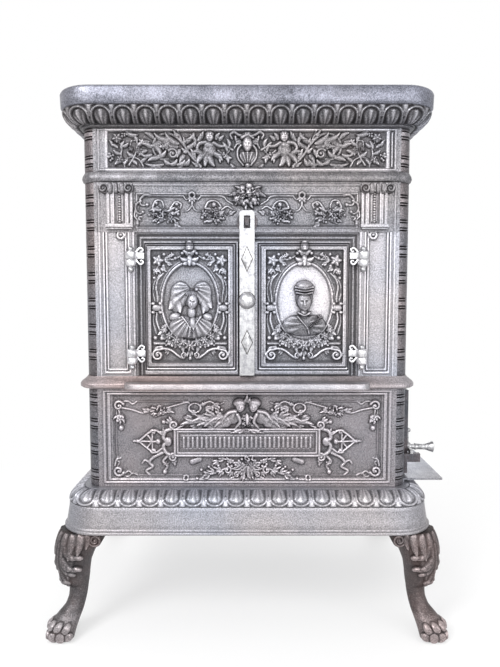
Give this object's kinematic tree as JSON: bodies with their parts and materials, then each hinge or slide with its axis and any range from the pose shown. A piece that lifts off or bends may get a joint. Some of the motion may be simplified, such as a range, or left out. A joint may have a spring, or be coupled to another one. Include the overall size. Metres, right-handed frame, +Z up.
{
  "type": "cast-iron niche stove",
  "caption": "Free-standing cast-iron stove on clawed legs, with a firebox behind a side door, an oven niche behind paired relief doors, and a flue collar behind.",
  "frame": {"origin": "centre of the footprint on the floor", "axes": "+Z up, +X to the right of someone facing the oven doors, the doors face -Y"},
  "size_m": [0.747, 0.5194, 1],
  "materials": {
    "graphite_iron": "graphite-polished, worn",
    "back_iron": "matt, lightly rusted",
    "sooty_iron": "matt, sooted",
    "bright_steel": "polished, worn",
    "black_bolts": "rough"
  },
  "bodies": {
    "stove_body": {"leg_front_left": "graphite_iron", "leg_front_right": "graphite_iron", "leg_rear_left": "graphite_iron", "leg_rear_right": "graphite_iron", "leg_bolts": "black_bolts", "base_plinth": "graphite_iron", "lower_front_panel": "graphite_iron", "lower_right_panel": "graphite_iron", "lower_back_panel": "back_iron", "lower_left_panel": "graphite_iron", "lower_post_front_left": "graphite_iron", "lower_post_front_right": "graphite_iron", "lower_post_rear_left": "graphite_iron", "lower_post_rear_right": "graphite_iron", "ledge_plate": "graphite_iron", "door_frame": "graphite_iron", "middle_right_panel": "graphite_iron", "middle_back_panel": "back_iron", "middle_left_panel": "graphite_iron", "middle_post_front_left": "graphite_iron", "middle_post_front_right": "graphite_iron", "middle_post_rear_left": "graphite_iron", "middle_post_rear_right": "graphite_iron", "belt_ring": "graphite_iron", "frieze_panel": "graphite_iron", "upper_right_panel": "graphite_iron", "upper_back_panel": "back_iron", "upper_left_panel": "graphite_iron", "upper_post_front_left": "graphite_iron", "upper_post_front_right": "graphite_iron", "upper_post_rear_left": "graphite_iron", "upper_post_rear_right": "graphite_iron", "cornice": "graphite_iron", "top_plate": "graphite_iron", "tie_rods": "black_bolts", "oven_box": "sooty_iron", "fire_grate": "sooty_iron", "ash_pan": "sooty_iron", "liner_front": "sooty_iron", "liner_back": "sooty_iron", "flue_collar": "back_iron", "frame_hinge_knuckles": "bright_steel", "door_hinge_pins": "bright_steel", "latch_catch": "bright_steel", "side_door_frame": "back_iron", "side_hinge_pins": "bright_steel", "side_keeper": "back_iron", "ash_shelf": "back_iron"},
    "door_left": {"door_left": "graphite_iron", "door_left_knuckles": "bright_steel"},
    "door_right": {"door_right": "graphite_iron", "door_right_knuckles": "bright_steel", "latch_bar": "bright_steel", "latch_knob": "bright_steel", "latch_studs": "bright_steel"},
    "side_door": {"side_door": "back_iron"},
    "side_latch": {"side_latch": "bright_steel", "side_handle": "bright_steel"},
    "air_slide": {"air_slide": "bright_steel"}
  },
  "joints": [
    {"name": "door_left_hinge", "type": "hinge", "parent": "stove_body", "child": "door_left", "pos_m": [-0.211, -0.211, 0.61], "axis": [0, 0, -1], "range_deg": [0, 110]},
    {"name": "door_right_hinge", "type": "hinge", "parent": "stove_body", "child": "door_right", "pos_m": [0.211, -0.211, 0.61], "axis": [0, 0, 1], "range_deg": [0, 110]},
    {"name": "side_door_hinge", "type": "hinge", "parent": "stove_body", "child": "side_door", "pos_m": [0.314, 0.097, 0.366], "axis": [0, 0, 1], "range_deg": [0, 110]},
    {"name": "side_latch_turn", "type": "hinge", "parent": "side_door", "child": "side_latch", "pos_m": [0.314, -0.14, 0.335], "axis": [-1, 0, 0], "range_deg": [0, 75]},
    {"name": "air_slide_travel", "type": "slide", "parent": "side_door", "child": "air_slide", "axis": [0, 1, 0], "range_m": [0, 0.012]}
  ]
}
